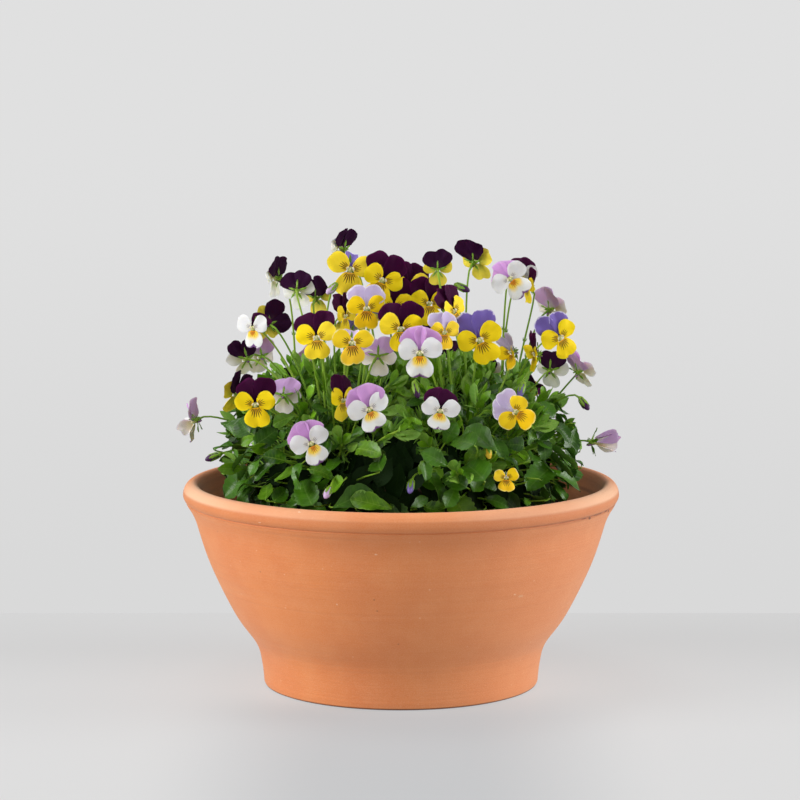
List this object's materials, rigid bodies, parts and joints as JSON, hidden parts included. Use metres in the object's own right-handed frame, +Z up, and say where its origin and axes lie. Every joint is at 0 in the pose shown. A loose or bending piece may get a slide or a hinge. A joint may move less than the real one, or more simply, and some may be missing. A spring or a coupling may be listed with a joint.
{
  "type": "potted pansy planter",
  "caption": "Wide terracotta bowl pot with a rolled rim, filled with soil and planted with small horned violets in mixed yellow, white and purple bloom.",
  "frame": {"origin": "centre of the pot's flat foot, on the surface that the pot stands on", "axes": "+Z up out of the pot, the pictured front towards -Y, +X to the viewer's right"},
  "size_m": [0.3267, 0.3194, 0.3383],
  "materials": {
    "terracotta": "fired clay, matt, with a faint mottle and small pale chips",
    "potting_soil": "dark fibrous peat compost",
    "leaf_green": "satin leaves with paler midribs, light green stalks and sepals",
    "petals_yellow_dark": "velvety yellow face with dark whisker lines under blackish purple upper petals",
    "petals_yellow_violet": "velvety yellow face with dark whisker lines under blue violet upper petals",
    "petals_yellow_pale": "soft yellow face under pale lavender upper petals",
    "petals_white_dark": "white face with a yellow throat under blackish purple upper petals",
    "petals_white_lilac": "white face with a yellow throat under lilac upper petals"
  },
  "bodies": {
    "root": {"pot": "terracotta", "soil": "potting_soil", "plant_1": "leaf_green", "plant_2": "leaf_green", "plant_3": "leaf_green", "plant_4": "leaf_green", "plant_5": "leaf_green", "plant_6": "leaf_green", "bloom_01": "petals_white_dark", "bloom_02": "petals_white_dark", "bloom_03": "petals_white_dark", "bloom_04": "petals_yellow_dark", "bloom_05": "petals_white_dark", "bloom_06": "petals_yellow_dark", "bloom_07": "petals_yellow_dark", "bloom_08": "petals_yellow_pale", "bloom_09": "petals_yellow_violet", "bloom_10": "petals_yellow_dark", "bloom_11": "petals_yellow_pale", "bloom_12": "petals_yellow_dark", "bloom_13": "petals_yellow_dark", "bloom_14": "petals_white_lilac", "bloom_15": "petals_yellow_dark", "bloom_16": "petals_yellow_dark", "bloom_17": "petals_yellow_dark", "bloom_18": "petals_yellow_dark", "bloom_19": "petals_yellow_dark", "bloom_20": "petals_white_lilac", "bloom_21": "petals_white_dark", "bloom_22": "petals_yellow_dark", "bloom_23": "petals_white_lilac", "bloom_24": "petals_yellow_violet", "bloom_25": "petals_yellow_violet", "bloom_26": "petals_yellow_pale", "bloom_27": "petals_yellow_dark", "bloom_28": "petals_white_dark", "bloom_29": "petals_white_lilac", "bloom_30": "petals_yellow_pale", "bloom_31": "petals_white_dark", "bloom_32": "petals_yellow_dark", "bloom_33": "petals_yellow_dark", "bloom_34": "petals_white_lilac", "bloom_35": "petals_white_lilac", "bloom_36": "petals_yellow_dark", "bloom_37": "petals_white_lilac", "bloom_38": "petals_white_lilac", "bloom_39": "petals_white_dark", "bloom_40": "petals_white_lilac", "bloom_41": "petals_yellow_pale", "bloom_42": "petals_yellow_pale", "bloom_43": "petals_white_lilac", "bloom_44": "petals_white_lilac", "bloom_45": "petals_yellow_dark", "bloom_46": "petals_yellow_dark", "bloom_47": "petals_white_lilac", "bloom_48": "petals_yellow_violet", "bloom_49": "petals_white_dark", "bloom_50": "petals_yellow_dark", "bloom_51": "petals_yellow_violet", "bloom_52": "petals_yellow_dark"}
  },
  "joints": []
}
